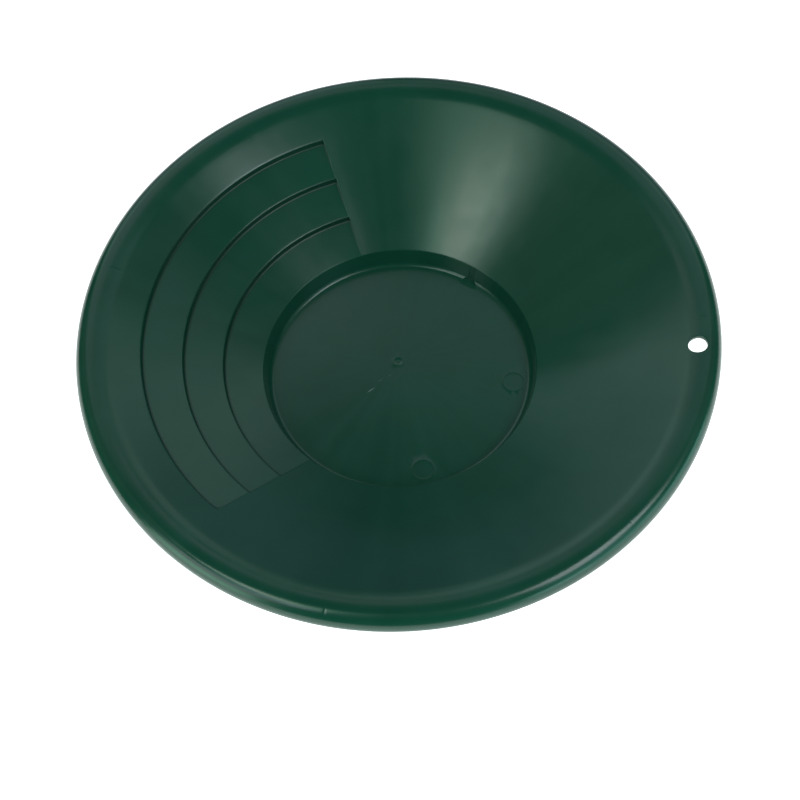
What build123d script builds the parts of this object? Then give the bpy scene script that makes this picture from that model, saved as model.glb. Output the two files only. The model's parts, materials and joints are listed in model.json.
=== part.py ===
from build123d import *
from math import atan, cos, degrees, radians, sin, sqrt, tan
import os

# A gold pan: one thin plastic moulding with a flat floor, a drop step, a riffle panel and a rolled rim.
# Lengths are in millimetres and angles in degrees.  The pan stands on its base at z = 0, the origin is
# the middle of that base, +Z is up, and azimuths turn from +X towards +Y.

# Whole pan
RIM_RADIUS = 177.5  # axis to the outside of the rolled rim
PAN_HEIGHT = 64.0  # ground to the crest of the rim
WALL = 2.5  # thickness of the moulding

# Floor and drop step
FLOOR_RADIUS = 76.6  # axis to the foot of the drop step
STEP_RUN = 3.0  # how far the drop step leans outwards
STEP_HEIGHT = 11.3  # floor to the top of the drop step
STEP_FOOT_FILLET = 3.0
STEP_TOP_FILLET = 1.2

# Rolled rim
RIM_WIDTH = 14.0  # outside of the rim to where the sloping wall would reach the crest's height
RIM_ROLL_RADIUS = 7.5  # rounding from the crest down to the skirt
RIM_SKIRT = 0.8  # upright edge below the rounding

# Riffle panel
RIFFLE_COUNT = 3
FIRST_RIFFLE_INSET = 34.8  # outside of the rim to the outermost riser
RIFFLE_DEPTH = 3.0  # height of a riser
RISER_RUN = 0.35  # draft of a riser, over its whole height
RIFFLE_ROOT_FILLET = 0.6
RIFFLE_EDGE_FILLET = 0.7
PANEL_AZIMUTH = 164.4  # middle of the panel
PANEL_HALF_ANGLE = 58.5  # middle to the direction of each end wall
PANEL_SIDE_OFFSET = 5.2  # each end wall stands this far outside the radius it runs along
PANEL_CORNER_RADIUS = 4.0  # plan rounding where the outermost riser meets the second end wall

# Hanging hole
HOLE_RADIUS = 5.0
HOLE_INSET = 13.5  # outside of the rim to the middle of the hole
HOLE_AZIMUTH = -12.2

# Ribs in the channel below the rolled rim
RIM_RIB_AZIMUTHS = (-6, 35, 77, 119, 162, 208, 254, 309)
RIM_RIB_THICKNESS = 1.6
RIM_RIB_REACH = 20.0  # outside of the rim to the inner end of a rib
RIM_RIB_CLEARANCE = 1.0  # edge of the skirt to the lower edge of a rib

# Marks that the mould leaves on the floor
PIN_MARK_RADIUS = 6.0
PIN_MARK_DEPTH = 0.2
PIN_MARKS = ((-11.5, 9.8), (-83.1, 11.2), (51.5, 5.2))  # azimuth, foot of the drop step to the middle
GATE_RADIUS = 2.6
GATE_DEPTH = 0.3
GATE_PLACE = (-0.6, 7.4)

# Derived places
STEP_TOP_RADIUS = FLOOR_RADIUS + STEP_RUN
STEP_TOP_HEIGHT = WALL + STEP_HEIGHT
WALL_END_RADIUS = RIM_RADIUS - RIM_WIDTH
WALL_SLOPE = (PAN_HEIGHT - STEP_TOP_HEIGHT) / (WALL_END_RADIUS - STEP_TOP_RADIUS)
WALL_ANGLE = atan(WALL_SLOPE)
RIM_BLEND_REACH = RIM_WIDTH - RIM_ROLL_RADIUS  # end of the wall's slope to where its blend starts and ends
RIM_BLEND_RADIUS = RIM_BLEND_REACH / tan(WALL_ANGLE / 2)
SKIRT_BOTTOM = PAN_HEIGHT - RIM_ROLL_RADIUS - RIM_SKIRT
FIRST_RIFFLE_RADIUS = RIM_RADIUS - FIRST_RIFFLE_INSET
RIFFLE_PITCH = (FIRST_RIFFLE_RADIUS - STEP_TOP_RADIUS) / RIFFLE_COUNT
TOOL_CLEARANCE = 10.0  # how far a cutting shape stands clear above the wall
TOOL_OVERLAP = 1.0  # how far a cutting shape runs past the faces that it meets
FLARE_REACH = 4 * RIFFLE_EDGE_FILLET  # run and rise by which the recess leaves the wall above its top edge
FLARE_RISE = 0.1


def wall_height(radius):
    """Height of the sloping wall's upper face at this distance from the axis."""
    return STEP_TOP_HEIGHT + (radius - STEP_TOP_RADIUS) * WALL_SLOPE


def wall_middle(radius):
    """Height of the middle of the sloping wall's thickness."""
    return wall_height(radius) - WALL / 2 / cos(WALL_ANGLE)


def riser_radius(index):
    """Distance from the axis to the foot of a riser, where riser 0 is the top of the drop step."""
    return STEP_TOP_RADIUS + index * RIFFLE_PITCH


def riser_top(index):
    """Top edge of a riser, where the wall's own slope is reached."""
    lean = 0 if index == 0 else RISER_RUN
    radius = riser_radius(index) + lean
    return (radius, wall_height(radius))


def riser_foot(index):
    """Foot of a riser, where the tread below it ends."""
    radius = riser_radius(index)
    return (radius, wall_height(radius) - RIFFLE_DEPTH)


def tread_underside(index, radius):
    """Height of the underside of the tread that runs up to this riser's foot."""
    start, end = riser_top(index - 1), riser_foot(index)
    slope = (end[1] - start[1]) / (end[0] - start[0])
    return start[1] + (radius - start[0]) * slope - WALL / cos(atan(slope))


def radial_plane(azimuth):
    """Upright plane through the axis, its x running outwards at this azimuth and its y upwards."""
    angle = radians(azimuth)
    return Plane(origin=(0, 0, 0), x_dir=(cos(angle), sin(angle), 0), z_dir=(sin(angle), -cos(angle), 0))


def polar_point(radius, azimuth):
    """Place on the ground plane."""
    return (radius * cos(radians(azimuth)), radius * sin(radians(azimuth)))


def end_wall_plane():
    """Ground plane with x along the second end wall and y pointing out of the panel."""
    angle = radians(PANEL_AZIMUTH + PANEL_HALF_ANGLE)
    return Plane(origin=(0, 0, 0), x_dir=(cos(angle), sin(angle), 0), z_dir=(0, 0, 1))


def panel_outline(side_offset):
    """Corners of the wedge that holds the riffle panel, seen from above."""
    behind = side_offset / sin(radians(PANEL_HALF_ANGLE))
    reach = RIM_RADIUS / cos(radians(PANEL_HALF_ANGLE)) + behind
    tip = Vector(*polar_point(-behind, PANEL_AZIMUTH))
    first = tip + Vector(*polar_point(reach, PANEL_AZIMUTH - PANEL_HALF_ANGLE))
    last = tip + Vector(*polar_point(reach, PANEL_AZIMUTH + PANEL_HALF_ANGLE))
    return [tip, first, last]


# Plain round pan: the upper face's outline, thickened downwards and turned about the axis
with BuildPart() as bowl:
    with BuildSketch(Plane.XZ):
        with BuildLine():
            blend_start = WALL_END_RADIUS - RIM_BLEND_REACH * cos(WALL_ANGLE)
            slope = FilletPolyline(
                (0, WALL),
                (FLOOR_RADIUS, WALL),
                (STEP_TOP_RADIUS, STEP_TOP_HEIGHT),
                (blend_start, wall_height(blend_start)),
                radius=[STEP_FOOT_FILLET, STEP_TOP_FILLET],
            )
            blend = JernArc(slope @ 1, slope % 1, RIM_BLEND_RADIUS, -degrees(WALL_ANGLE))
            roll = JernArc(blend @ 1, blend % 1, RIM_ROLL_RADIUS, -90)
            Line(roll @ 1, (RIM_RADIUS, SKIRT_BOTTOM))
            offset(amount=WALL, side=Side.RIGHT, closed=True)
        make_face()
    revolve(axis=Axis.Z)

# Thickening behind the riffles, so that the stepped wall keeps its thickness
with BuildPart() as riffle_backing:
    with BuildSketch(Plane.XZ):
        with BuildLine():
            corners = [(STEP_TOP_RADIUS, wall_middle(STEP_TOP_RADIUS))]
            for index in range(1, RIFFLE_COUNT + 1):
                inner_radius = riser_radius(index - 1) + (WALL if index > 1 else 0)
                outer_radius = riser_radius(index) + WALL
                corners.append((inner_radius, tread_underside(index, inner_radius)))
                corners.append((outer_radius, tread_underside(index, outer_radius)))
            corners.append((outer_radius, wall_middle(outer_radius)))
            Polyline(*corners, close=True)
        make_face()
    revolve(axis=Axis.Z)
    with BuildSketch(Plane.XY):
        with BuildLine():
            Polyline(*panel_outline(PANEL_SIDE_OFFSET + WALL), close=True)
        make_face()
    extrude(amount=PAN_HEIGHT, mode=Mode.INTERSECT)

# Space above the treads, taken out of the wall
with BuildPart() as riffle_recess:
    with BuildSketch(Plane.XZ):
        with BuildLine():
            outline = [riser_top(0)]
            radii = []
            for index in range(1, RIFFLE_COUNT + 1):
                outline += [riser_foot(index), riser_top(index)]
                radii += [RIFFLE_ROOT_FILLET, RIFFLE_EDGE_FILLET]
            flare_radius = riser_top(RIFFLE_COUNT)[0] + FLARE_REACH
            outline.append((flare_radius, wall_height(flare_radius) + FLARE_RISE))
            edge = FilletPolyline(*outline, radius=radii)
            Polyline(
                edge @ 1,
                (flare_radius, wall_height(flare_radius) + TOOL_CLEARANCE),
                (STEP_TOP_RADIUS, STEP_TOP_HEIGHT + TOOL_CLEARANCE),
                edge @ 0,
            )
        make_face()
    revolve(axis=Axis.Z)
    with BuildSketch(Plane.XY):
        with BuildLine():
            Polyline(*panel_outline(PANEL_SIDE_OFFSET), close=True)
        make_face()
    extrude(amount=PAN_HEIGHT + TOOL_CLEARANCE, mode=Mode.INTERSECT)
    with BuildSketch(end_wall_plane()):
        corner_reach = riser_top(RIFFLE_COUNT)[0]
        centre_out = PANEL_SIDE_OFFSET - PANEL_CORNER_RADIUS
        centre_along = sqrt((corner_reach - PANEL_CORNER_RADIUS) ** 2 - centre_out**2)
        tangent_scale = (corner_reach + TOOL_OVERLAP) / (corner_reach - PANEL_CORNER_RADIUS)
        with BuildLine():
            Polyline(
                (centre_along, centre_out),
                (centre_along, PANEL_SIDE_OFFSET + TOOL_OVERLAP),
                (corner_reach + TOOL_OVERLAP, PANEL_SIDE_OFFSET + TOOL_OVERLAP),
                (centre_along * tangent_scale, centre_out * tangent_scale),
                close=True,
            )
        make_face()
        with Locations((centre_along, centre_out)):
            Circle(PANEL_CORNER_RADIUS, mode=Mode.SUBTRACT)
    extrude(amount=PAN_HEIGHT + TOOL_CLEARANCE, mode=Mode.SUBTRACT)

# Short ribs that brace the skirt of the rim against the wall
with BuildPart() as rim_ribs:
    rib_end = RIM_RADIUS - RIM_RIB_REACH
    roll_x = RIM_RADIUS - RIM_ROLL_RADIUS
    roll_y = PAN_HEIGHT - RIM_ROLL_RADIUS
    roll_middle = RIM_ROLL_RADIUS - WALL / 2
    for azimuth in RIM_RIB_AZIMUTHS:
        with BuildSketch(radial_plane(azimuth)):
            with BuildLine():
                Polyline(
                    (rib_end, wall_middle(rib_end)),
                    (roll_x, roll_y + roll_middle),
                    (roll_x + roll_middle * sqrt(0.5), roll_y + roll_middle * sqrt(0.5)),
                    (roll_x + roll_middle, roll_y),
                    (roll_x + roll_middle, SKIRT_BOTTOM + RIM_RIB_CLEARANCE),
                    close=True,
                )
            make_face()
        extrude(amount=RIM_RIB_THICKNESS / 2, both=True)

# The finished moulding
with BuildPart() as pan:
    add(bowl.part)
    add(riffle_backing.part)
    add(rim_ribs.part)
    add(riffle_recess.part, mode=Mode.SUBTRACT)
    with BuildSketch(Plane.XY):
        with Locations(polar_point(RIM_RADIUS - HOLE_INSET, HOLE_AZIMUTH)):
            Circle(HOLE_RADIUS)
    extrude(amount=PAN_HEIGHT, mode=Mode.SUBTRACT)
    with BuildSketch(Plane.XY.offset(WALL - PIN_MARK_DEPTH)):
        for azimuth, inset in PIN_MARKS:
            with Locations(polar_point(FLOOR_RADIUS - inset, azimuth)):
                Circle(PIN_MARK_RADIUS)
    extrude(amount=STEP_FOOT_FILLET, mode=Mode.SUBTRACT)
    with BuildSketch(Plane.XY.offset(WALL - GATE_DEPTH)):
        with Locations(GATE_PLACE):
            Circle(GATE_RADIUS)
    extrude(amount=GATE_DEPTH, mode=Mode.SUBTRACT)

pan.part.label = "pan"

os.makedirs("parts", exist_ok=True)
export_step(pan.part, "parts/pan.step")
print("wall slope", round(degrees(WALL_ANGLE), 1), "degrees, volume", round(pan.part.volume), "mm3")
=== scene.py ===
"""A gold pan of green moulded plastic on a pale studio floor.

The pan is one moulding, so it is one closed mesh: the upper face and the underside are each turned
from an outline, the riffle panel is sunk into the wall, and the round marks and the hanging hole are
worked into the same skin. Lengths are in millimetres and angles in degrees until the mesh is written.
"""

import json
import logging
import math
from collections.abc import Callable
from dataclasses import dataclass, field
from enum import Enum
from functools import partial, reduce

import bmesh
import bpy
import numpy as np
from mathutils import Matrix, Vector
from mathutils.geometry import delaunay_2d_cdt


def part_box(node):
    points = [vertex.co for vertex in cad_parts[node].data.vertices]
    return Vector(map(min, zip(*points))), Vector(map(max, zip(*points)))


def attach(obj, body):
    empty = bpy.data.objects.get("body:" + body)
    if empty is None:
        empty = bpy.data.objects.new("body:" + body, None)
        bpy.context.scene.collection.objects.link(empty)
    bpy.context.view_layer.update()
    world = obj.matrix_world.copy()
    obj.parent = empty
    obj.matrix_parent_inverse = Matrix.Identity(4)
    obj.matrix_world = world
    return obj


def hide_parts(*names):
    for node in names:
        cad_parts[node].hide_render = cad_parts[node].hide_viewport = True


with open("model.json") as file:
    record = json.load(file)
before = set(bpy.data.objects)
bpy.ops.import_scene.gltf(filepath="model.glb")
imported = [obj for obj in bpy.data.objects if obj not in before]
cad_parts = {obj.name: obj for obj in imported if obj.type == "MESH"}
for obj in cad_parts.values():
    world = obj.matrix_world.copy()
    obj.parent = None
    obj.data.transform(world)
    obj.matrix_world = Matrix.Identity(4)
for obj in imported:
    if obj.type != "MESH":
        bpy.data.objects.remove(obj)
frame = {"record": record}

LOG = logging.getLogger("gold_pan")
MM = 0.001  # metres in a millimetre
BODY = "root"
CAD_NODE = "pan"

TINY = 1e-6  # a length or an angle that doesn't count

Point = tuple[float, float]
Place = tuple[float, float, float]
Colour = tuple[float, float, float]
Loop = list[int]
HeightOf = Callable[[float], float]
Socket = bpy.types.NodeSocket


class Face(Enum):
    """Side of the moulding, with the direction that it looks in."""

    UPPER = 1
    UNDER = -1


def polar(radius: float, azimuth: float) -> Point:
    """Place seen from above, from a distance to the axis and an azimuth."""
    return radius * math.cos(math.radians(azimuth)), radius * math.sin(math.radians(azimuth))


@dataclass(frozen=True)
class Outline:
    """Half section of a turned face: straight runs joined by tangent arcs.

    Attributes:
        corners: Where the straight runs would meet, as (radius, height).
        radii: Rounding of each corner between the first and the last.
    """

    corners: tuple[Point, ...]
    radii: tuple[float, ...]

    def trace(self, turn: float) -> np.ndarray:
        """Points along the outline.

        Args:
            turn: Largest angle that one step of an arc may turn through.

        Returns:
            One row of radius and height for each point.
        """
        points = [np.array(self.corners[0], float)]
        for index, rounding in enumerate(self.radii, start=1):
            before, corner, after = (np.array(self.corners[index + side], float) for side in (-1, 0, 1))
            arrive, leave = corner - before, after - corner
            arrive, leave = arrive / np.linalg.norm(arrive), leave / np.linalg.norm(leave)
            bend = math.atan2(arrive[0] * leave[1] - arrive[1] * leave[0], float(arrive @ leave))
            if rounding <= 0:
                points.append(corner)
                continue
            start = corner - arrive * rounding * math.tan(abs(bend) / 2)
            normal = np.array([-arrive[1], arrive[0]]) * math.copysign(1.0, bend)
            steps = max(2, math.ceil(abs(math.degrees(bend)) / turn))
            for share in np.linspace(0, 1, steps + 1):
                angle = abs(bend) * share
                along = arrive * math.sin(angle) + normal * (1 - math.cos(angle))
                points.append(start + rounding * along)
        points.append(np.array(self.corners[-1], float))
        return np.array(points)

    def offset(self, distance: float, least: float) -> "Outline":
        """Outline that runs beside this one, on its right.

        Args:
            distance: How far away it runs.
            least: Smallest rounding that it keeps.

        Returns:
            The new outline.
        """
        corners = [np.array(corner, float) for corner in self.corners]
        runs = [(b - a) / np.linalg.norm(b - a) for a, b in zip(corners, corners[1:])]
        sides = [np.array([run[1], -run[0]]) * distance for run in runs]
        moved = [corners[0] + sides[0]]
        radii = []
        for index in range(1, len(corners) - 1):
            first, second = runs[index - 1], runs[index]
            cross = first[0] * second[1] - first[1] * second[0]
            gap = corners[index] + sides[index] - corners[index] - sides[index - 1]
            reach = (gap[0] * second[1] - gap[1] * second[0]) / cross
            moved.append(corners[index] + sides[index - 1] + first * reach)
            radii.append(max(least, self.radii[index - 1] + math.copysign(distance, cross)))
        moved.append(corners[-1] + sides[-1])
        return Outline(tuple((float(x), float(y)) for x, y in moved), tuple(radii))


class Skin:
    """Points and faces of the mesh while it is being made."""

    def __init__(self) -> None:
        """Starts with no points and no faces."""
        self.points: list[Place] = []
        self.faces: list[tuple[int, ...]] = []

    def add(self, x: float, y: float, z: float) -> int:
        """Adds one point and returns its number."""
        self.points.append((x, y, z))
        return len(self.points) - 1

    def loft(self, first: Loop, second: Loop, skip: range = range(0)) -> None:
        """Joins two closed loops of equal length with four-sided faces.

        Args:
            first: One loop.
            second: The other loop.
            skip: Numbers of the faces that are left out.
        """
        count = len(first)
        for index in range(count):
            if index not in skip:
                after = (index + 1) % count
                self.faces.append((first[index], first[after], second[after], second[index]))

    def zip(self, first: Loop, second: Loop, centre: Point) -> None:
        """Joins two closed loops of any length with triangles, going round a centre seen from above."""
        first, second = self._turned(first, centre), self._turned(second, centre)
        one, two = self._angles(first, centre), self._angles(second, centre)
        i = j = 0
        while i < len(first) or j < len(second):
            next_one = one[i + 1] if i < len(first) else math.inf
            next_two = two[j + 1] if j < len(second) else math.inf
            a, b = first[i % len(first)], second[j % len(second)]
            if next_one <= next_two:
                self.faces.append((a, first[(i + 1) % len(first)], b))
                i += 1
            else:
                self.faces.append((a, second[(j + 1) % len(second)], b))
                j += 1

    def _turned(self, loop: Loop, centre: Point) -> Loop:
        """The loop, starting at its point of least azimuth about the centre."""
        angles = [self._angle(point, centre) for point in loop]
        start = angles.index(min(angles))
        return loop[start:] + loop[:start]

    def _angles(self, loop: Loop, centre: Point) -> list[float]:
        """Azimuths of a loop's points about a centre, with the first one again after a full turn."""
        angles = [self._angle(point, centre) for point in loop]
        return angles + [angles[0] + 2 * math.pi]

    def _angle(self, point: int, centre: Point) -> float:
        """Azimuth of a point about a centre, from 0 to a full turn."""
        x, y, _ = self.points[point]
        return math.atan2(y - centre[1], x - centre[0]) % (2 * math.pi)

    def write(self, name: str) -> bpy.types.Object:
        """Makes the Blender object.

        Args:
            name: The object's name.

        Returns:
            The object, linked to the scene, with smooth faces that all point outwards.
        """
        mesh = bpy.data.meshes.new(name)
        mesh.from_pydata([Vector(point) * MM for point in self.points], [], self.faces)
        work = bmesh.new()
        work.from_mesh(mesh)
        loose = [vertex for vertex in work.verts if not vertex.link_faces]
        bmesh.ops.delete(work, geom=loose, context="VERTS")
        bmesh.ops.recalc_face_normals(work, faces=work.faces)
        work.to_mesh(mesh)
        work.free()
        mesh.shade_smooth()
        piece = bpy.data.objects.new(name, mesh)
        bpy.context.scene.collection.objects.link(piece)
        return piece


@dataclass(frozen=True)
class EndWall:
    """One end of the riffle panel: an upright face beside a radius of the pan.

    Attributes:
        azimuth: Direction of the radius that the face runs along.
        side: 1 where the outside of the panel has the larger azimuth, otherwise -1.
    """

    azimuth: float
    side: int


@dataclass(frozen=True)
class Column:
    """One line of points that runs from the floor to the rim.

    Attributes:
        azimuth: Its azimuth at the outermost riser.
        share: How much of the panel's depth it takes, from 0 outside to 1 inside.
        wall: The end wall that it is drawn towards.
        pull: How much it is drawn, from 0 to 1.
        inset: Distance inside the end wall's face, for a line that follows it.
    """

    azimuth: float
    share: float
    wall: EndWall
    pull: float
    inset: float | None = None


@dataclass(frozen=True)
class RimSink:
    """Short hollow that the plastic leaves over a rib as it cools."""

    azimuth: float
    start: float
    end: float
    depth: float = 0.09


@dataclass
class RifflePanel:
    """Three trapping steps sunk into one third of the wall."""

    azimuth: float = 164.4
    half_angle: float = 58.5
    side_offset: float = 5.2
    count: int = 3
    outer_inset: float = 34.8
    depth: float = 3.0
    riser_run: float = 0.35
    root_rounding: float = 0.6
    edge_rounding: float = 0.7
    end_edge_rounding: float = 0.5
    end_root_rounding: float = 0.4
    end_draft: float = 0.15
    corner_rounding: float = 4.0
    draw_span: float = 12.0  # azimuth over which the lines beside an end wall bend towards it
    edge_support: float = 1.2  # distance from a riser to the rows that hold its roundings
    root_turn: float = 15.0  # arc steps in the roundings of the risers

    def end_walls(self) -> tuple[EndWall, EndWall]:
        """Both end walls, the one of least azimuth first."""
        return (
            EndWall(self.azimuth - self.half_angle, -1),
            EndWall(self.azimuth + self.half_angle, 1),
        )

    def end_section(self) -> list[Point]:
        """Section through an end wall, as pairs of inset and share of the depth."""
        section = [(-3 * self.end_edge_rounding, 0.0)]
        for angle in np.radians(np.linspace(0, 90, 6)):
            inset = self.end_edge_rounding * (math.sin(angle) - 1)
            section.append((inset, self.end_edge_rounding * (1 - math.cos(angle)) / self.depth))
        foot = self.end_draft + self.end_root_rounding
        for angle in np.radians(np.linspace(0, 90, 5)):
            rise = self.end_root_rounding * (1 - math.sin(angle))
            section.append((foot - self.end_root_rounding * math.cos(angle), 1 - rise / self.depth))
        section.append((foot + 2 * self.end_root_rounding, 1.0))
        return section


@dataclass
class FloorMarks:
    """Round marks that the mould leaves on the floor."""

    pin_radius: float = 6.0
    pin_depth: float = 0.2
    pin_places: tuple[Point, ...] = ((66.8, -11.5), (65.4, -83.1))
    step_pin_place: Point = (71.4, 51.5)
    gate_radius: float = 2.6
    gate_depth: float = 0.3
    gate_place: Point = (-0.6, 7.4)
    ring_points: int = 72


@dataclass
class HangingHole:
    """Round hole through the rim, with its edges rounded."""

    centre: Point
    radius: float
    edge_rounding: float = 0.4
    margin: float = 3.4  # how far round the hole the skin is woven in rings
    rings: int = 5

    def reach(self) -> float:
        """Distance from the hole's middle to the nearest plain face."""
        return self.radius + self.margin

    def distance(self) -> float:
        """Distance from the pan's axis to the hole's middle."""
        return math.hypot(*self.centre)

    def azimuth(self) -> float:
        """Direction of the hole from the pan's axis."""
        return math.degrees(math.atan2(self.centre[1], self.centre[0])) % 360

    def weave(self, skin: Skin, edge: Loop, height: HeightOf, face: Face) -> Loop:
        """Fills the space between a loop and the hole.

        Args:
            skin: Where the faces go.
            edge: The loop round the space.
            height: Height of the face at a radius of the pan.
            face: Which face the loop is on.

        Returns:
            The loop at the end of the hole's edge rounding.
        """
        starts = [skin.points[index][:2] for index in edge]
        turns = [math.atan2(y - self.centre[1], x - self.centre[0]) for x, y in starts]
        loops = [edge]
        rim = self.radius + self.edge_rounding
        for share in np.linspace(0, 1, self.rings + 1)[1:]:
            loop = []
            for (x, y), turn in zip(starts, turns):
                x += (self.centre[0] + rim * math.cos(turn) - x) * share
                y += (self.centre[1] + rim * math.sin(turn) - y) * share
                loop.append(skin.add(x, y, height(math.hypot(x, y))))
            loops.append(loop)
        for angle in np.radians((22.5, 45.0, 67.5, 90.0)):
            radius = self.radius + self.edge_rounding * (1 - math.sin(angle))
            sunk = face.value * self.edge_rounding * (1 - math.cos(angle))
            loop = []
            for turn in turns:
                x = self.centre[0] + radius * math.cos(turn)
                y = self.centre[1] + radius * math.sin(turn)
                loop.append(skin.add(x, y, height(math.hypot(x, y)) - sunk))
            loops.append(loop)
        for first, second in zip(loops, loops[1:]):
            skin.loft(first, second)
        return loops[-1]


@dataclass
class GoldPan:
    """The whole moulding."""

    rim_radius: float
    height: float
    hole: HangingHole
    wall: float = 2.5
    floor_radius: float = 76.6
    step_run: float = 3.0
    step_height: float = 11.3
    step_foot_rounding: float = 3.0
    step_top_rounding: float = 1.2
    rim_width: float = 14.0
    roll_radius: float = 7.5
    skirt: float = 0.8
    lip_rounding: float = 0.5
    fine_turn: float = 0.25  # arc steps where heights are only looked up
    arc_turn: float = 3.0
    column_step: float = 1.0
    row_gap: float = 3.0
    row_support: float = 0.6  # distance from an edge to the rows that hold it
    least_row_gap: float = 0.02
    panel: RifflePanel = field(default_factory=RifflePanel)
    marks: FloorMarks = field(default_factory=FloorMarks)
    sinks: tuple[RimSink, ...] = (
        RimSink(-6.3, 165.6, 169.9),
        RimSink(76.7, 158.9, 164.9),
        RimSink(119.4, 156.4, 164.1),
        RimSink(162.55, 159.2, 166.7),
        RimSink(254.1, 170.0, 174.1),
        RimSink(308.9, 170.8, 174.2, depth=0.05),
    )
    sink_half_width: float = 0.55
    sharp_angle: float = 40.0  # edges that turn further than this are shaded sharp

    def __post_init__(self) -> None:
        """Works out the outlines from the sizes."""
        self.step_top = (self.floor_radius + self.step_run, self.wall + self.step_height)
        self.wall_end = self.rim_radius - self.rim_width
        self.slope = (self.height - self.step_top[1]) / (self.wall_end - self.step_top[0])
        self.crest_radius = self.rim_radius - self.roll_radius
        blend = (self.rim_width - self.roll_radius) / math.tan(math.atan(self.slope) / 2)
        skirt_bottom = self.height - self.roll_radius - self.skirt
        self.upper = Outline(
            (
                (0.0, self.wall),
                (self.floor_radius, self.wall),
                self.step_top,
                (self.wall_end, self.height),
                (self.rim_radius, self.height),
                (self.rim_radius, skirt_bottom),
            ),
            (self.step_foot_rounding, self.step_top_rounding, blend, self.roll_radius),
        )
        self.lower = self.upper.offset(self.wall, least=self.lip_rounding)
        self._upper_fine = self._rising(self.upper.trace(self.fine_turn), self.crest_radius)
        self._lower_fine = self._rising(self.lower.trace(self.fine_turn), self.crest_radius)
        self.first_row = float(self.upper.trace(self.arc_turn)[1][0])
        self.pitch = (self.rim_radius - self.panel.outer_inset - self.step_top[0]) / self.panel.count
        self.riser_reference = self._riser_top(self.panel.count)[0]

    @staticmethod
    def _rising(points: np.ndarray, limit: float) -> np.ndarray:
        """The stretch of an outline whose radius grows, up to a limit."""
        kept = points[points[:, 0] <= limit + TINY]
        grows = np.concatenate([[True], np.diff(kept[:, 0]) > TINY])
        return kept[grows]

    def wall_height(self, radius: float) -> float:
        """Height of the plain sloping wall, carried on past its ends."""
        return self.step_top[1] + (radius - self.step_top[0]) * self.slope

    def upper_height(self, radius: float) -> float:
        """Height of the upper face without its riffles, out to the crest and beyond."""
        if radius > self.crest_radius:
            drop = radius - self.crest_radius
            return self.height - self.roll_radius + math.sqrt(max(self.roll_radius**2 - drop**2, 0.0))
        return float(np.interp(radius, self._upper_fine[:, 0], self._upper_fine[:, 1]))

    def lower_height(self, radius: float) -> float:
        """Height of the underside without its riffles, out to the crest and beyond."""
        if radius > self.crest_radius:
            inner = self.roll_radius - self.wall
            drop = radius - self.crest_radius
            return self.height - self.roll_radius + math.sqrt(max(inner**2 - drop**2, 0.0))
        return float(np.interp(radius, self._lower_fine[:, 0], self._lower_fine[:, 1]))

    # Riffles

    def _riser_radius(self, index: int) -> float:
        """Distance from the axis to a riser's foot."""
        return self.step_top[0] + index * self.pitch

    def riser_feet(self) -> tuple[Point, ...]:
        """Each riser's foot, as its radius and the half angle that it spans."""
        feet = []
        for index in range(1, self.panel.count + 1):
            radius = self._riser_radius(index)
            past_end = math.degrees(math.asin(self.panel.side_offset / radius))
            feet.append((radius, self.panel.half_angle + past_end))
        return tuple(feet)

    def _riser_top(self, index: int) -> Point:
        """Top edge of a riser, on the plain wall."""
        radius = self._riser_radius(index) + (self.panel.riser_run if index else 0.0)
        return radius, self.wall_height(radius)

    def _riser_foot(self, index: int) -> Point:
        """Foot of a riser, where the tread inside it ends."""
        radius = self._riser_radius(index)
        return radius, self.wall_height(radius) - self.panel.depth

    def _tread_height(self, index: int, radius: float) -> float:
        """Height of a tread, carried on past its ends."""
        (r0, z0), (r1, z1) = self._riser_top(index - 1), self._riser_foot(index)
        return z0 + (radius - r0) * (z1 - z0) / (r1 - r0)

    def _panel_outline(self) -> Outline:
        """Section through the treads and risers."""
        corners = [self._riser_top(0)]
        radii = []
        for index in range(1, self.panel.count + 1):
            corners += [self._riser_foot(index), self._riser_top(index)]
            radii += [self.panel.root_rounding, self.panel.edge_rounding]
        end = self._riser_radius(self.panel.count) + self.row_gap
        corners.append((end, self.wall_height(end)))
        return Outline(tuple(corners), tuple(radii))

    def _backing_outline(self) -> list[Point]:
        """Section through the stepped underside, which keeps the wall's thickness below the treads."""
        points: list[Point] = []
        for index in range(1, self.panel.count + 1):
            start, end = self._riser_top(index - 1), self._riser_foot(index)
            slope = (end[1] - start[1]) / (end[0] - start[0])
            drop = self.wall * math.hypot(1.0, slope)
            inner = self._riser_radius(index - 1) + (self.wall if index > 1 else 0.0)
            outer = self._riser_radius(index) + self.wall
            points.append((inner, self._tread_height(index, inner) - drop))
            points.append((outer - self.panel.riser_run, self._tread_height(index, outer) - drop))
        last = self._riser_radius(self.panel.count) + self.wall
        points.append((last, self.lower_height(last)))
        return points

    # Columns and rows

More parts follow.
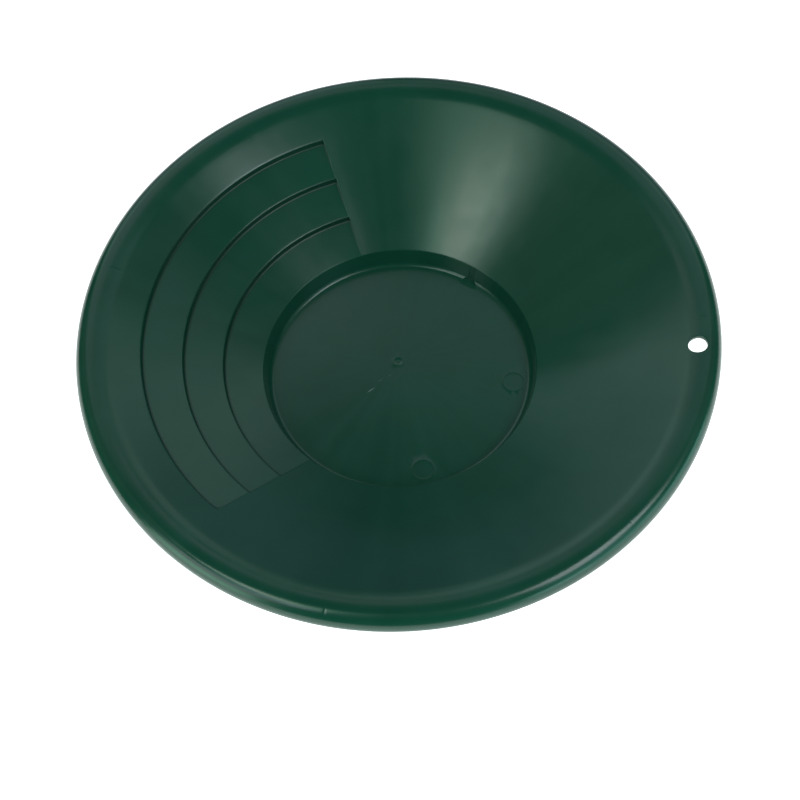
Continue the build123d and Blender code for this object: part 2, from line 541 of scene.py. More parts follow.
    def _columns(self) -> list[Column]:
        """Every line of points round the pan, by azimuth."""
        panel = self.panel
        columns: list[Column] = []
        taken: list[Point] = []
        reference = self.riser_reference
        walls = panel.end_walls()
        span = []
        for wall in walls:
            for inset, share in panel.end_section():
                turn = math.degrees(math.asin((panel.side_offset - inset) / reference))
                columns.append(Column(wall.azimuth + wall.side * turn, share, wall, 1.0, inset))
            ends = sorted(column.azimuth for column in columns if column.wall is wall)
            taken.append((ends[0], ends[-1]))
            span.append(wall.azimuth + wall.side * math.degrees(math.asin(panel.side_offset / reference)))
        wanted: list[float] = []
        for middle, reach, count in self._dense_spans():
            wanted += [float(v) % 360 for v in middle + np.linspace(-reach, reach, count)]
            taken.append(((middle - reach) % 360, (middle + reach) % 360))
        room = self.column_step * 0.45
        for azimuth in np.arange(0, 360, self.column_step):
            if not any(start - room < azimuth < end + room for start, end in taken):
                wanted.append(float(azimuth))
        for azimuth in wanted:
            distances = [abs(azimuth - end) for end in span]
            nearest = distances.index(min(distances))
            pull = max(0.0, 1 - distances[nearest] / panel.draw_span)
            share = 1.0 if span[0] < azimuth < span[1] else 0.0
            columns.append(Column(azimuth, share, walls[nearest], pull))
        return sorted(columns, key=lambda column: column.azimuth)

    def _dense_spans(self) -> list[tuple[float, float, int]]:
        """Where the lines stand closer together, as middle, reach and number of lines."""
        sink_reach = math.degrees(self.sink_half_width * 2.4 / self.crest_radius)
        spans = [(sink.azimuth, sink_reach, 11) for sink in self.sinks]
        pin_reach = math.degrees(self.marks.pin_radius * 0.9 / self.floor_radius)
        spans.append((self.marks.step_pin_place[1], pin_reach, 37))
        spans.append((self.hole.azimuth(), math.degrees(self.hole.reach() / self.hole.distance()), 17))
        return spans

    def _turned(self, column: Column, radius: float, offset: float) -> float:
        """Azimuth of a column at a radius.

        Args:
            column: The line of points.
            radius: Distance from the axis.
            offset: How far the end wall's face stands outside its radius.

        Returns:
            The azimuth there.
        """
        wall = column.wall
        if column.pull == 0:
            return column.azimuth
        if column.inset is not None:
            return wall.azimuth + wall.side * math.degrees(math.asin((offset - column.inset) / radius))
        rest = math.asin(self.panel.side_offset / self.riser_reference)
        turn = math.degrees(math.asin(offset / radius) - rest)
        return column.azimuth + wall.side * column.pull * turn

    def _filled(self, values: list[float]) -> list[float]:
        """Sorted values with more put in wherever two are further apart than the row gap."""
        values = sorted(values)
        filled = [values[0]]
        for value in values[1:]:
            if value - filled[-1] < self.least_row_gap:
                continue
            parts = math.ceil((value - filled[-1]) / self.row_gap)
            filled += [float(v) for v in np.linspace(filled[-1], value, parts + 1)[1:]]
        return filled

    def _bends(self, outline: Outline) -> list[float]:
        """Radii of an outline's points from the floor's edge to the crest."""
        return [float(r) for r, _ in outline.trace(self.arc_turn)[1:] if r <= self.crest_radius + TINY]

    def _past_crest(self, outline: Outline) -> np.ndarray:
        """An outline's points beyond the crest, without its last one."""
        trace = outline.trace(self.arc_turn)
        first = next(i for i, (radius, _) in enumerate(trace) if radius > self.crest_radius + TINY)
        return trace[first:-1]

    def _upper_rows(self) -> list[float]:
        """Radii of the upper face's rows, from the floor's edge to the crest."""
        panel = self.panel
        rows = [float(r) for r, _ in self._panel_outline().trace(panel.root_turn)]
        rows.append(rows[0] + self.row_support)
        for index in range(1, panel.count + 1):
            rows.append(self._riser_foot(index)[0] - panel.edge_support)
            rows.append(self._riser_top(index)[0] + panel.edge_support)
        rows += self._bends(self.upper)
        return self._filled([r for r in rows if self.first_row <= r <= self.crest_radius + TINY])

    def _upper_point(self, column: Column, radius: float, panel_z: float) -> Place:
        """Place of one point of the upper face.

        Args:
            column: Its line.
            radius: Its row.
            panel_z: Height of the treads' section at that row.

        Returns:
            The point.
        """
        azimuth = self._turned(column, radius, self.panel.side_offset)
        plain = self.upper_height(radius)
        depth = max(0.0, plain - panel_z) * column.share
        shift = self._corner_shift(radius, azimuth)
        if shift > 0:
            last = self.panel.count
            full = self.wall_height(radius) - self._tread_height(last, radius)
            radius, azimuth = self._moved(radius, azimuth, shift)
            new_full = self.wall_height(radius) - self._tread_height(last, radius)
            depth *= new_full / full
            plain = self.upper_height(radius)
        height = plain - depth - self._sink_depth(radius, azimuth)
        x, y = polar(radius, azimuth)
        return x, y, self._pin_height(x, y, height)

    def _corner_shift(self, radius: float, azimuth: float) -> float:
        """How far a point near the panel's lower outer corner is drawn in, so that the corner is round."""
        wall = self.panel.end_walls()[1]
        rounding = self.panel.corner_rounding
        lateral = radius * math.sin(math.radians(azimuth - wall.azimuth))
        inset = self.panel.side_offset - lateral
        reach = rounding - max(abs(self.riser_reference - radius), abs(inset))
        if reach <= 0 or math.cos(math.radians(azimuth - wall.azimuth)) < 0:
            return 0.0
        total = reach + rounding
        return (total - math.sqrt(total**2 - 2 * reach**2)) / 2

    def _moved(self, radius: float, azimuth: float, shift: float) -> Point:
        """Radius and azimuth of a point drawn inwards from the outer riser and the second end wall."""
        wall = self.panel.end_walls()[1]
        lateral = radius * math.sin(math.radians(azimuth - wall.azimuth)) - shift
        radius -= shift
        return radius, wall.azimuth + math.degrees(math.asin(lateral / radius))

    def _sink_depth(self, radius: float, azimuth: float) -> float:
        """Depth of the hollows over the ribs at a place on the rim."""
        depth = 0.0
        for sink in self.sinks:
            turn = math.radians(azimuth - sink.azimuth)
            across = radius * math.sin(turn)
            if abs(across) > 4 * self.sink_half_width or math.cos(turn) < 0:
                continue
            middle, half = (sink.start + sink.end) / 2, (sink.end - sink.start) / 2
            along = max(0.0, 1 - ((radius - middle) / half) ** 2)
            depth += sink.depth * math.exp(-((across / self.sink_half_width) ** 2)) * math.sqrt(along)
        return depth

    def _pin_height(self, x: float, y: float, height: float) -> float:
        """Height near the pin mark that bites into the foot of the drop step."""
        marks = self.marks
        centre = polar(*marks.step_pin_place)
        away = math.hypot(x - centre[0], y - centre[1])
        bottom = self.wall - marks.pin_depth
        if away < marks.pin_radius and height < bottom + self.step_foot_rounding:
            return min(height, bottom)
        return height

    def _lower_rows(self) -> list[float]:
        """Radii of the underside's rows, from the floor's edge to the crest."""
        rows = self._bends(self.lower)
        for radius, _ in self._backing_outline():
            rows += [radius - self.row_support, radius, radius + self.row_support]
        return self._filled(rows)

    def _loft_round_hole(
        self, skin: Skin, columns: list[Column], loops: list[Loop], height: HeightOf, face: Face
    ) -> Loop:
        """Joins all loops of one face, leaving the hanging hole open.

        Args:
            skin: Where the faces go.
            columns: The lines of points that the loops run across.
            loops: The loops, from the floor to the rim.
            height: Height of the face at a radius of the pan.
            face: Which face the loop is on.

        Returns:
            The loop at the hole's wall.
        """
        turn, distance, reach = self.hole.azimuth(), self.hole.distance(), self.hole.reach()
        half = math.degrees(reach / distance) + TINY
        lines = [i for i, column in enumerate(columns) if abs(column.azimuth - turn) <= half]
        radii = [math.hypot(*skin.points[loop[lines[0]]][:2]) for loop in loops]
        low = max(i for i, radius in enumerate(radii) if radius <= distance - reach)
        high = min(i for i, radius in enumerate(radii) if radius >= distance + reach)
        skip = range(lines[0], lines[-1])
        for index, (first, second) in enumerate(zip(loops, loops[1:])):
            skin.loft(first, second, skip if low <= index < high else range(0))
        edge = [loops[low][line] for line in lines]
        edge += [loops[row][lines[-1]] for row in range(low + 1, high)]
        edge += [loops[high][line] for line in reversed(lines)]
        edge += [loops[row][lines[0]] for row in range(high - 1, low, -1)]
        return self.hole.weave(skin, list(reversed(edge)), height, face)

    def build(self) -> bpy.types.Object:
        """Makes the moulding's mesh, braced by the rim's ribs."""
        skin = Skin()
        columns = self._columns()
        top_loops, top_hole = self._build_upper(skin, columns)
        bottom_loops, bottom_hole = self._build_lower(skin, columns)
        skin.loft(top_loops[-1], bottom_loops[-1])
        skin.zip(top_hole, bottom_hole, self.hole.centre)
        self._build_floor(skin, top_loops[0], self.wall, marked=True)
        self._build_floor(skin, bottom_loops[0], 0.0, marked=False)
        piece = skin.write("pan_moulding")
        RimRibs(self).brace(piece)
        piece.data.set_sharp_from_angle(angle=math.radians(self.sharp_angle))
        return piece

    def dress(self, piece: bpy.types.Object) -> None:
        """Gives the moulding its plastic."""
        plastic = MouldedPlastic(self.wall, self.marks.gate_place, self.panel.azimuth, self.riser_feet())
        piece.data.materials.clear()
        piece.data.materials.append(plastic.material())

    def _build_upper(self, skin: Skin, columns: list[Column]) -> tuple[list[Loop], Loop]:
        """Upper face from the floor's edge over the rim to the foot of the skirt.

        Args:
            skin: Where the points and faces go.
            columns: The lines of points round the pan.

        Returns:
            The loops from the floor's edge outwards, and the loop at the hanging hole.
        """
        section = self._panel_outline().trace(self.fine_turn)
        loops = []
        for radius in self._upper_rows():
            inside = section[0][0] < radius < section[-1][0]
            panel_z = float(np.interp(radius, section[:, 0], section[:, 1])) if inside else math.inf
            loops.append([skin.add(*self._upper_point(column, radius, panel_z)) for column in columns])
        for radius, height in self._past_crest(self.upper):
            loop = []
            for column in columns:
                azimuth = self._turned(column, radius, self.panel.side_offset)
                x, y = polar(radius, azimuth)
                loop.append(skin.add(x, y, height - self._sink_depth(radius, azimuth)))
            loops.append(loop)
        loops += self._lip(skin, columns)
        return loops, self._loft_round_hole(skin, columns, loops, self.upper_height, Face.UPPER)

    def _lip(self, skin: Skin, columns: list[Column]) -> list[Loop]:
        """Rounded foot of the skirt."""
        bottom = self.upper.corners[-1][1]
        half = self.lip_rounding
        inner, outer = self.rim_radius - self.wall, self.rim_radius
        turns = np.radians(np.linspace(0, 90, 5))
        arc = [(half * (1 - math.cos(turn)), bottom + half * (1 - math.sin(turn))) for turn in turns]
        points = [(outer - inset, height) for inset, height in arc]
        points += [(inner + inset, height) for inset, height in reversed(arc)]
        return [self._ring(skin, columns, radius, height) for radius, height in points]

    def _ring(self, skin: Skin, columns: list[Column], radius: float, height: float) -> Loop:
        """Adds one level loop of points."""
        places = [polar(radius, self._turned(c, radius, self.panel.side_offset)) for c in columns]
        return [skin.add(x, y, height) for x, y in places]

    def _build_lower(self, skin: Skin, columns: list[Column]) -> tuple[list[Loop], Loop]:
        """Underside from the floor's edge to the skirt's inner face.

        Args:
            skin: Where the points and faces go.
            columns: The lines of points round the pan.

        Returns:
            The loops from the floor's edge outwards, and the loop at the hanging hole.
        """
        backing = np.array(self._backing_outline())
        loops = []
        for radius in self._lower_rows():
            plain = self.lower_height(radius)
            depth = 0.0
            if backing[0][0] < radius < backing[-1][0]:
                depth = max(0.0, plain - float(np.interp(radius, backing[:, 0], backing[:, 1])))
            fade = min(1.0, max(0.0, (radius - backing[-1][0]) / (self.crest_radius - backing[-1][0])))
            offset = self.panel.side_offset + self.wall * (1 - fade)
            loop = []
            for column in columns:
                x, y = polar(radius, self._turned(column, radius, offset))
                loop.append(skin.add(x, y, plain - depth * column.share))
            loops.append(loop)
        for radius, height in self._past_crest(self.lower):
            loops.append(self._ring(skin, columns, radius, height))
        return loops, self._loft_round_hole(skin, columns, loops, self.lower_height, Face.UNDER)

    def _build_floor(self, skin: Skin, edge: Loop, level: float, marked: bool) -> None:
        """Fills the flat floor inside a loop.

        Args:
            skin: Where the faces go.
            edge: The loop round the floor.
            level: The floor's height.
            marked: Whether the pin marks and the gate mark are on this face.
        """
        flat = [Vector(skin.points[index][:2]) for index in edge]
        heights = [level] * len(flat)
        edges = [(i, (i + 1) % len(flat)) for i in range(len(flat))]
        marks = self._mark_sections() if marked else []
        for centre, _, section in marks:
            for ring_radius, depth in section:
                start, count = len(flat), self.marks.ring_points
                for step in range(count):
                    x, y = polar(ring_radius, 360 * step / count)
                    flat.append(Vector((centre[0] + x, centre[1] + y)))
                    heights.append(level - depth)
                edges += [(start + i, start + (i + 1) % count) for i in range(count)]
        for radius, gap in self._floor_rings():
            count = max(12, int(2 * math.pi * radius / gap))
            for step in range(count):
                x, y = polar(radius, 360 * step / count)
                if all(math.hypot(x - c[0], y - c[1]) > reach + 0.3 for c, reach, _ in marks):
                    flat.append(Vector((x, y)))
                    heights.append(level)
        places, _, faces, origins, _, _ = delaunay_2d_cdt(flat, edges, [], 0, 1e-5)
        numbers = []
        for place, sources in zip(places, origins):
            source = sources[0] if sources else -1
            if 0 <= source < len(edge):
                numbers.append(edge[source])
            else:
                z = heights[source] if source >= 0 else level
                numbers.append(skin.add(place.x, place.y, z))
        for face in faces:
            skin.faces.append(tuple(numbers[index] for index in face))

    def _floor_rings(self) -> list[Point]:
        """Rings of plain points on the floor, as radius and spacing, from its edge inwards."""
        edge = self.first_row
        rings = [(edge - self.row_support, 1.5)]
        rings += [(float(radius), 4.0) for radius in np.arange(edge - 3.0, 0.0, -4.0)]
        return rings

    def _mark_sections(self) -> list[tuple[Point, float, list[Point]]]:
        """Centre, reach and section of each round mark on the floor."""
        marks = self.marks
        found = []
        soft = 0.12
        for radius, azimuth in marks.pin_places:
            section = [
                (marks.pin_radius + 2 * soft, 0.0),
                (marks.pin_radius + soft, -0.03),
                (marks.pin_radius, 0.0),
                (marks.pin_radius - soft, marks.pin_depth * 0.9),
                (marks.pin_radius - 3 * soft, marks.pin_depth),
                (marks.pin_radius - 1.5, marks.pin_depth),
                (marks.pin_radius / 2, marks.pin_depth),
            ]
            found.append((polar(radius, azimuth), marks.pin_radius + 2 * soft, section))
        gate = [
            (marks.gate_radius + 0.5, 0.0),
            (marks.gate_radius + 0.2, -0.05),
            (marks.gate_radius - 0.2, 0.02),
            (marks.gate_radius * 0.7, marks.gate_depth * 0.75),
            (marks.gate_radius * 0.4, marks.gate_depth),
            (marks.gate_radius * 0.15, marks.gate_depth * 0.8),
        ]
        found.append((marks.gate_place, marks.gate_radius + 0.5, gate))
        return found


@dataclass
class RimRibs:
    """Short webs that brace the skirt of the rim from below."""

    pan: GoldPan
    azimuths: tuple[float, ...] = (-6, 35, 77, 119, 162, 208, 254, 309)
    thickness: float = 1.6
    reach: float = 20.0
    clearance: float = 1.0

    def _web(self) -> list[Point]:
        """Corners of a web as radius and height; all but its lower edge lie inside the wall."""
        pan = self.pan
        half = pan.wall / 2
        inner = pan.rim_radius - self.reach
        centre = pan.height - pan.roll_radius
        middle = pan.roll_radius - half
        web = [(inner, (pan.upper_height(inner) + pan.lower_height(inner)) / 2)]
        for angle in np.radians((90, 67.5, 45, 22.5, 0)):
            web.append((pan.crest_radius + middle * math.cos(angle), centre + middle * math.sin(angle)))
        web.append((pan.rim_radius - half, centre - pan.skirt + self.clearance))
        return web

    def build(self) -> bpy.types.Object:
        """Makes all the webs as one object."""
        web = self._web()
        count = len(web)
        work = bmesh.new()
        for azimuth in self.azimuths:
            across = Vector((-math.sin(math.radians(azimuth)), math.cos(math.radians(azimuth)), 0))
            sides = []
            for side in (-0.5, 0.5):
                places = [Vector((*polar(radius, azimuth), height)) for radius, height in web]
                sides.append([work.verts.new((p + across * side * self.thickness) * MM) for p in places])
            work.faces.new(sides[0])
            work.faces.new(list(reversed(sides[1])))
            for index in range(count):
                after = (index + 1) % count
                work.faces.new((sides[0][after], sides[0][index], sides[1][index], sides[1][after]))
        bmesh.ops.recalc_face_normals(work, faces=work.faces)
        mesh = bpy.data.meshes.new("rim_ribs")
        work.to_mesh(mesh)
        work.free()
        ribs = bpy.data.objects.new("rim_ribs", mesh)
        bpy.context.scene.collection.objects.link(ribs)
        return ribs

    def brace(self, piece: bpy.types.Object) -> None:
        """Joins the webs to the moulding's underside in one skin."""
        ribs = self.build()
        union = piece.modifiers.new("ribs", "BOOLEAN")
        union.operation = "UNION"
        union.solver = "EXACT"
        union.object = ribs
        graph = bpy.context.evaluated_depsgraph_get()
        joined = bpy.data.meshes.new_from_object(piece.evaluated_get(graph))
        piece.modifiers.clear()
        plain, piece.data = piece.data, joined
        joined.name = plain.name + "_braced"
        spare = ribs.data
        bpy.data.objects.remove(ribs)
        bpy.data.meshes.remove(spare)
        bpy.data.meshes.remove(plain)


@dataclass(frozen=True)
class SoftBox:
    """Flat diffuse studio light that faces the pan.

    Attributes:
        name: What the light is called.
        azimuth: Direction that it stands in.
        elevation: Height angle that it stands at.
        across: Angle that it spans sideways, seen from the pan.
        upwards: Angle that it spans upwards, seen from the pan.
        radiance: How bright its face is.
        tint: Its colour.
        distance: From the pan, in metres.
    """

    name: str
    azimuth: float
    elevation: float
    across: float
    upwards: float
    radiance: float
    tint: Colour = (1.0, 1.0, 1.0)
    distance: float = 1.2

    def place(self, target: Vector) -> bpy.types.Object:
        """Adds the light to the scene, aimed at a point.

        Args:
            target: Where it is aimed.

        Returns:
            The light.
        """
        azimuth, elevation = math.radians(self.azimuth), math.radians(self.elevation)
        lamp = bpy.data.lights.new(self.name, "AREA")
        lamp.shape = "RECTANGLE"
        lamp.size = 2 * self.distance * math.tan(math.radians(self.across / 2)) * math.cos(elevation)
        lamp.size_y = 2 * self.distance * math.tan(math.radians(self.upwards / 2))
        lamp.energy = self.radiance * math.pi * lamp.size * lamp.size_y
        lamp.color = self.tint
        light = bpy.data.objects.new(self.name, lamp)
        away = Vector((
            math.cos(elevation) * math.cos(azimuth),
            math.cos(elevation) * math.sin(azimuth),
            math.sin(elevation),
        ))
        light.location = target + away * self.distance
        light.rotation_euler = away.to_track_quat("Z", "Y").to_euler()
        bpy.context.scene.collection.objects.link(light)
        return light


@dataclass
class Camera:
    """Camera at arm's length above the pan."""

    focal_length: float = 57.95
    sensor: float = 36.0
    distance: float = 0.74303
    elevation: float = 59.027
    roll: float = 5.166
    aim_height: float = 0.0225
    aim_left: float = 0.05606  # how far left of the aimed point the camera looks past it
    aim_up: float = 2.02046  # how far the aimed point stands above the middle of the frame

    def place(self) -> bpy.types.Object:
        """Adds the camera and makes it the scene's own."""
        lens = bpy.data.cameras.new("camera")
        lens.lens = self.focal_length
        lens.sensor_width = self.sensor
        lens.clip_start = 0.01
        lens.clip_end = 50.0
        camera = bpy.data.objects.new("camera", lens)
        bpy.context.scene.collection.objects.link(camera)
        tilt = math.radians(self.elevation)
        back = Vector((0, -math.cos(tilt), math.sin(tilt)))
        upright = Matrix((Vector((1, 0, 0)), Vector((0, math.sin(tilt), math.cos(tilt))), back)).transposed()
        across, upward = math.tan(math.radians(-self.aim_left)), math.tan(math.radians(self.aim_up))
        aimed = Vector((across, upward, -1)).normalized()
        swing = Vector((0, 0, -1)).rotation_difference(aimed).to_matrix()
        turn = upright @ Matrix.Rotation(math.radians(-self.roll), 3, "Z") @ swing.transposed()
        stand = Vector((0, 0, self.aim_height)) + back * self.distance
        camera.matrix_world = Matrix.Translation(stand) @ turn.to_4x4()
        bpy.context.scene.camera = camera
        return camera


@dataclass(frozen=True)
class Scratch:
    """Short pale scratch on the floor.

    Attributes:
        place: Its middle, as radius and azimuth.
        heading: Direction that it runs in.
        length: How long it is.
        width: How wide it is.
        strength: How much paler it is, from 0 to 1.
    """

    place: Point
    heading: float
    length: float
    width: float
    strength: float


class NodeBench:
    """Short calls that add nodes to one material."""

    def __init__(self, material: bpy.types.Material) -> None:
        """Opens a material's node tree."""
        self.nodes = material.node_tree.nodes
        self.links = material.node_tree.links
        self.place = self.nodes.new("ShaderNodeTexCoord").outputs["Object"]

    def noise(self, scale: float, detail: float, vector: Socket | None = None) -> Socket:
        """Noise from 0 to 1.

        Args:
            scale: Waves in a metre, or in one unit of the vector.
            detail: How many finer layers it has.
            vector: Where it is read, if not at the surface's own place.

        Returns:
            The value.
        """
        node = self.nodes.new("ShaderNodeTexNoise")
        node.inputs["Scale"].default_value = scale
        node.inputs["Detail"].default_value = detail
        self.links.new(vector or self.place, node.inputs["Vector"])
        return node.outputs["Fac"]

    def remap(self, value: Socket, source: Point, result: Point) -> Socket:
        """Value mapped from one range to another and clamped there."""
        node = self.nodes.new("ShaderNodeMapRange")
        for name, number in zip(("From Min", "From Max", "To Min", "To Max"), source + result):
            node.inputs[name].default_value = number
        self.links.new(value, node.inputs["Value"])
        return node.outputs["Result"]

    def maths(self, operation: str, first: Socket, second: Socket | float = 0.0) -> Socket:
        """One sum on two values."""
        node = self.nodes.new("ShaderNodeMath")
        node.operation = operation
        self.links.new(first, node.inputs[0])
        if isinstance(second, float):
            node.inputs[1].default_value = second
        else:
            self.links.new(second, node.inputs[1])
        return node.outputs["Value"]

    def mixed(self, first: Socket, second: Socket, share: float) -> Socket:
        """Two values added up by shares, of which the second one's is given."""
        rest = self.maths("MULTIPLY", first, 1 - share)
        return self.maths("ADD", rest, self.maths("MULTIPLY", second, share))

    def vector(
        self, operation: str, first: Socket, second: Place = (0, 0, 0)
    ) -> bpy.types.bpy_prop_collection:
        """One vector sum, as all its outputs."""
        node = self.nodes.new("ShaderNodeVectorMath")
        node.operation = operation
        self.links.new(first, node.inputs[0])
        node.inputs[1].default_value = second
        return node.outputs

    def local(self, centre: Place, heading: float, scale: Place) -> Socket:
        """The surface's place in a turned and stretched frame of its own."""
        node = self.nodes.new("ShaderNodeMapping")
        node.vector_type = "TEXTURE"
        node.inputs["Location"].default_value = centre
        node.inputs["Rotation"].default_value = (0, 0, math.radians(heading))
        node.inputs["Scale"].default_value = scale
        self.links.new(self.place, node.inputs["Vector"])
        return node.outputs["Vector"]

    def blend(self, factor: Socket, first: Socket | Colour, second: Colour) -> Socket:
        """Two colours mixed by a value."""
        node = self.nodes.new("ShaderNodeMix")
        node.data_type = "RGBA"
        self.links.new(factor, node.inputs["Factor"])
        if isinstance(first, tuple):
            node.inputs["A"].default_value = (*first, 1)
        else:
            self.links.new(first, node.inputs["A"])
        node.inputs["B"].default_value = (*second, 1)
        return node.outputs["Result"]


@dataclass(frozen=True)
class MouldedPlastic:
    """Semi-gloss green plastic with flow marks from the gate, fine grain, light wear and painted shade at
    the feet of the risers.
    """

    floor_level: float
    gate: Point
    panel_azimuth: float
    riser_feet: tuple[Point, ...]  # radius and half angle of each
    deep: Colour = (0.0066, 0.0570, 0.0345)
    pale: Colour = (0.0084, 0.0670, 0.0415)
    worn: Colour = (0.1600, 0.2400, 0.2100)
    # painted shade: near-black green laid along the risers' feet in place of their shadow
    riser_shade_colour: Colour = (0.0015, 0.0100, 0.0070)
    riser_shade_strength: float = 0.5
    riser_shade_inset: float = 0.2  # from a riser's foot inwards to the middle of its painted shade line
    riser_shade_dullness: float = 0.7
    refraction: float = 1.49
    smooth: float = 0.20
    dull: float = 0.25
    scratches: tuple[Scratch, ...] = (
        Scratch((20.9, -150.0), 32.0, 6.0, 0.70, 0.90),
        Scratch((13.0, -160.0), 24.0, 4.0, 0.40, 0.35),
        Scratch((6.5, -166.0), 20.0, 4.5, 0.35, 0.30),
    )

    def material(self) -> bpy.types.Material:
        """Builds the node material."""
        material = bpy.data.materials.new("green_moulded_plastic")
        material.use_nodes = True
        bench = NodeBench(material)
        shader = material.node_tree.nodes["Principled BSDF"]
        shader.inputs["IOR"].default_value = self.refraction
        flow, riser_shade = self._flow(bench), self._riser_shade(bench)

        cloud = bench.mixed(bench.noise(18.0, 4.0), flow, 0.3)
        colour = bench.blend(bench.remap(cloud, (0.36, 0.64), (0.0, 1.0)), self.deep, self.pale)
        for scratch in self.scratches:
            colour = bench.blend(self._mark(bench, scratch), colour, self.worn)
        # painted shade at the risers' feet, darkening the base colour
        colour = bench.blend(riser_shade, colour, self.riser_shade_colour)

        sheen = bench.mixed(bench.noise(55.0, 5.0), flow, 0.4)
        clean = bench.remap(sheen, (0.38, 0.62), (self.smooth, self.dull))
        # roughness is also raised along the painted shade lines
        roughness = bench.maths("MAXIMUM", clean, bench.maths("MULTIPLY", riser_shade, self.riser_shade_dullness))

        bench.links.new(colour, shader.inputs["Base Color"])
        bench.links.new(roughness, shader.inputs["Roughness"])
        bench.links.new(self._relief(bench, flow), shader.inputs["Normal"])
        return material

    def _flow(self, bench: NodeBench) -> Socket:
        """Streaks that run outwards from the gate."""
        away = bench.vector("SUBTRACT", bench.place, (self.gate[0] * MM, self.gate[1] * MM, 0.0))["Vector"]
        outwards = bench.vector("MULTIPLY", away, (1, 1, 0))["Vector"]
        return bench.noise(9.0, 3.0, bench.vector("NORMALIZE", outwards)["Vector"])

    def _riser_shade(self, bench: NodeBench) -> Socket:
        """Painted shade: a dark line at the foot of each riser, where its shadow falls, from 0 to its
        strength.
        """
        flat = bench.vector("MULTIPLY", bench.place, (1, 1, 0))["Vector"]
        radius = bench.vector("LENGTH", flat)["Value"]
        heading = bench.vector("NORMALIZE", flat)["Vector"]
        along = bench.vector("DOT_PRODUCT", heading, (*polar(1.0, self.panel_azimuth), 0))["Value"]
        lines = []
        for foot, half_angle in self.riser_feet:
            away = bench.maths("ABSOLUTE", bench.maths("SUBTRACT", radius, (foot - self.riser_shade_inset) * MM))
            line = bench.remap(away, (0.4 * MM, 1.0 * MM), (self.riser_shade_strength, 0.0))
            limit = math.cos(math.radians(half_angle))
            inside = bench.remap(along, (limit, limit + 0.003), (0.0, 1.0))
            lines.append(bench.maths("MULTIPLY", line, inside))
        riser_shade = reduce(partial(bench.maths, "MAXIMUM"), lines)
        normal = bench.nodes.new("ShaderNodeNewGeometry").outputs["Normal"]
        upward = bench.vector("DOT_PRODUCT", normal, (0, 0, 1))["Value"]
        facing_up = bench.remap(upward, (0.0, 0.1), (0.0, 1.0))
        return bench.maths("MULTIPLY", riser_shade, facing_up)

    def _mark(self, bench: NodeBench, scratch: Scratch) -> Socket:
        """Where a scratch is, from 0 to its strength."""
        x, y = polar(*scratch.place)
        centre = (x * MM, y * MM, self.floor_level * MM)
        size = (scratch.length * MM / 2, scratch.width * MM / 2, MM)
        away = bench.vector("LENGTH", bench.local(centre, scratch.heading, size))["Value"]
        return bench.remap(away, (1.0, 0.5), (0.0, scratch.strength))

    def _relief(self, bench: NodeBench, flow: Socket) -> Socket:
        """Slow waves of the moulding, faint flow ridges and a fine grain, one over the other."""
        layers = (
            (bench.noise(14.0, 2.0), 0.16),
            (flow, 0.02),
            (bench.noise(160.0, 2.0), 0.006),
            (bench.noise(1500.0, 2.0), 0.0012),
        )
        normal = None
        for height, depth in layers:
            bump = bench.nodes.new("ShaderNodeBump")
            bump.inputs["Distance"].default_value = depth * MM
            bench.links.new(height, bump.inputs["Height"])
            if normal is not None:
                bench.links.new(normal, bump.inputs["Normal"])
            normal = bump.outputs["Normal"]
        return normal


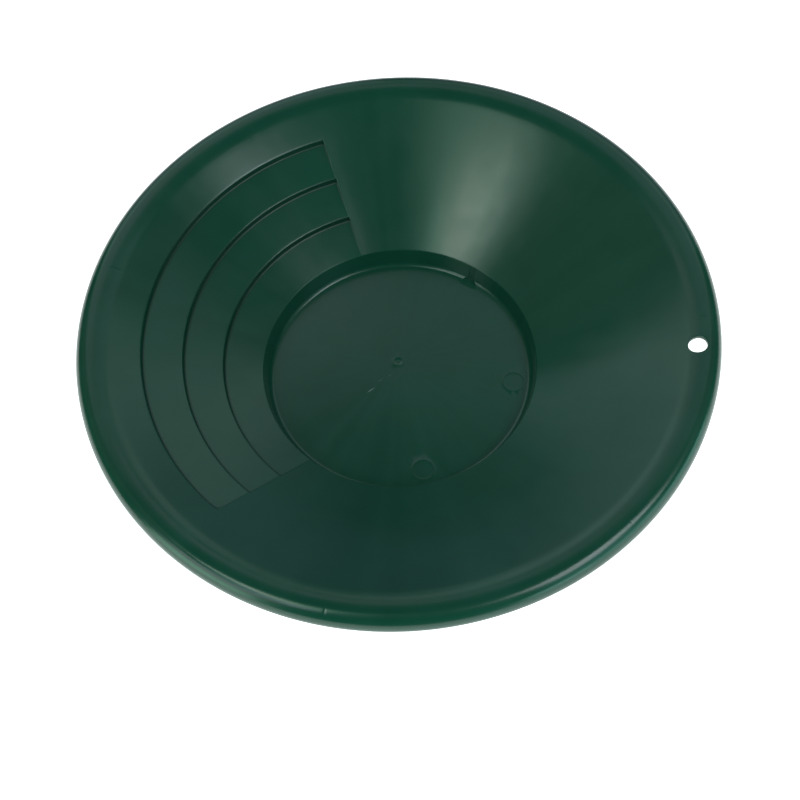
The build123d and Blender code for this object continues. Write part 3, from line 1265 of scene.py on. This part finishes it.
@dataclass
class Studio:
    """Pale floor, dim room and soft lights."""

    floor_size: float = 8.0
    floor_drop: float = 0.0003  # keeps the floor clear of the pan's flat base
    floor_colour: Colour = (0.9, 0.9, 0.9)
    floor_roughness: float = 0.9
    floor_glow: float = 1.0
    room_light: float = 0.0
    target: Place = (0.0, 0.0, 0.03)
    lights: tuple[SoftBox, ...] = (
        SoftBox("key_198_62", 198.0, 62.0, 15.0, 11.0, 6.08, (0.77, 1.00, 0.86)),
        SoftBox("key_213_51", 213.0, 51.0, 15.0, 11.0, 1.75, (0.28, 0.80, 1.00)),
        SoftBox("key_213_62", 213.0, 62.0, 15.0, 11.0, 6.22, (0.92, 1.00, 0.83)),
        SoftBox("key_228_51", 228.0, 51.0, 15.0, 11.0, 4.00, (0.78, 0.82, 1.00)),
        SoftBox("key_228_62", 228.0, 62.0, 15.0, 11.0, 3.22, (0.48, 1.00, 0.75)),
        SoftBox("key_top", 213.0, 73.0, 40.0, 10.0, 1.56, (0.59, 1.00, 0.81)),
        SoftBox("left_low", 213.0, 12.0, 30.0, 24.0, 3.84, (0.60, 1.00, 0.79)),
        SoftBox("left_mid", 213.0, 34.0, 30.0, 20.0, 2.23, (0.93, 0.92, 1.00)),
        SoftBox("right_high", 320.0, 54.0, 28.0, 24.0, 4.77, (0.89, 0.94, 1.00)),
        SoftBox("right_high_side", 342.0, 54.0, 18.0, 24.0, 5.38, (0.84, 0.99, 1.00)),
        SoftBox("right_mid", 320.0, 30.0, 30.0, 22.0, 0.98, (0.43, 1.00, 0.96)),
        SoftBox("right_low", 338.0, 9.0, 44.0, 16.0, 2.49, (0.53, 1.00, 0.91)),
        SoftBox("right_low_side", 305.0, 9.0, 20.0, 16.0, 3.17, (0.57, 1.00, 0.90)),
        SoftBox("back_low", 111.0, 20.0, 42.0, 12.0, 0.67, (0.70, 0.93, 1.00)),
        SoftBox("back", 111.0, 36.0, 42.0, 18.0, 1.11, (0.77, 1.00, 1.00)),
        SoftBox("back_high", 111.0, 53.0, 42.0, 14.0, 0.70, (0.88, 0.85, 1.00)),
        SoftBox("back_right_low", 62.0, 18.0, 44.0, 16.0, 0.30, (0.70, 0.69, 1.00)),
        SoftBox("back_right", 62.0, 37.0, 44.0, 20.0, 0.75, (0.83, 0.99, 1.00)),
        SoftBox("back_right_high", 62.0, 56.0, 50.0, 16.0, 0.52, (0.79, 0.89, 1.00)),
        SoftBox("right_side_high", 15.0, 42.0, 44.0, 28.0, 0.14, (1.00, 0.41, 0.54)),
        SoftBox("left_side", 160.0, 42.0, 44.0, 36.0, 0.13, (1.00, 0.85, 0.69)),
        SoftBox("floor_back", 85.0, 4.0, 80.0, 8.0, 0.43, (0.55, 0.55, 1.00)),
    )

    def build(self) -> None:
        """Lays the floor, sets the room's light and hangs the lamps."""
        self._floor()
        world = bpy.data.worlds.new("room")
        world.use_nodes = True
        background = world.node_tree.nodes["Background"]
        background.inputs["Color"].default_value = (1, 1, 1, 1)
        background.inputs["Strength"].default_value = self.room_light
        bpy.context.scene.world = world
        for light in self.lights:
            light.place(Vector(self.target))
        bpy.context.scene.view_settings.view_transform = "Standard"

    def _floor(self) -> bpy.types.Object:
        """Makes the pale floor."""
        mesh = bpy.data.meshes.new("studio_floor")
        half = self.floor_size / 2
        corners = [(-half, -half, 0), (half, -half, 0), (half, half, 0), (-half, half, 0)]
        mesh.from_pydata(corners, [], [(0, 1, 2, 3)])
        floor = bpy.data.objects.new("studio_floor", mesh)
        floor.location.z = -self.floor_drop
        bpy.context.scene.collection.objects.link(floor)
        material = bpy.data.materials.new("pale_floor")
        material.use_nodes = True
        shader = material.node_tree.nodes["Principled BSDF"]
        shader.inputs["Base Color"].default_value = (*self.floor_colour, 1)
        shader.inputs["Roughness"].default_value = self.floor_roughness
        shader.inputs["Emission Color"].default_value = (1, 1, 1, 1)
        shader.inputs["Emission Strength"].default_value = self.floor_glow
        mesh.materials.append(material)
        return floor


def main() -> None:
    """Builds the pan and its studio."""
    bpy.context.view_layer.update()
    low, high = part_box(CAD_NODE)
    mount = next(mount for mount in frame["record"]["mounts"] if mount["name"] == "hanging_hole")
    hole = HangingHole((mount["pos_m"][0] / MM, mount["pos_m"][1] / MM), mount["dims"]["r_mm"])
    pan = GoldPan(rim_radius=(high.x - low.x) / 2 / MM, height=high.z / MM, hole=hole)
    piece = pan.build()
    pan.dress(piece)
    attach(piece, BODY)
    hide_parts(CAD_NODE)
    LOG.info("%s: %d faces", piece.name, len(piece.data.polygons))
    studio = Studio()
    studio.build()
    LOG.info("studio: %d lights", len(studio.lights))
    Camera().place()


if __name__ == "__main__":
    logging.basicConfig(level=logging.INFO, format="%(message)s")
    main()
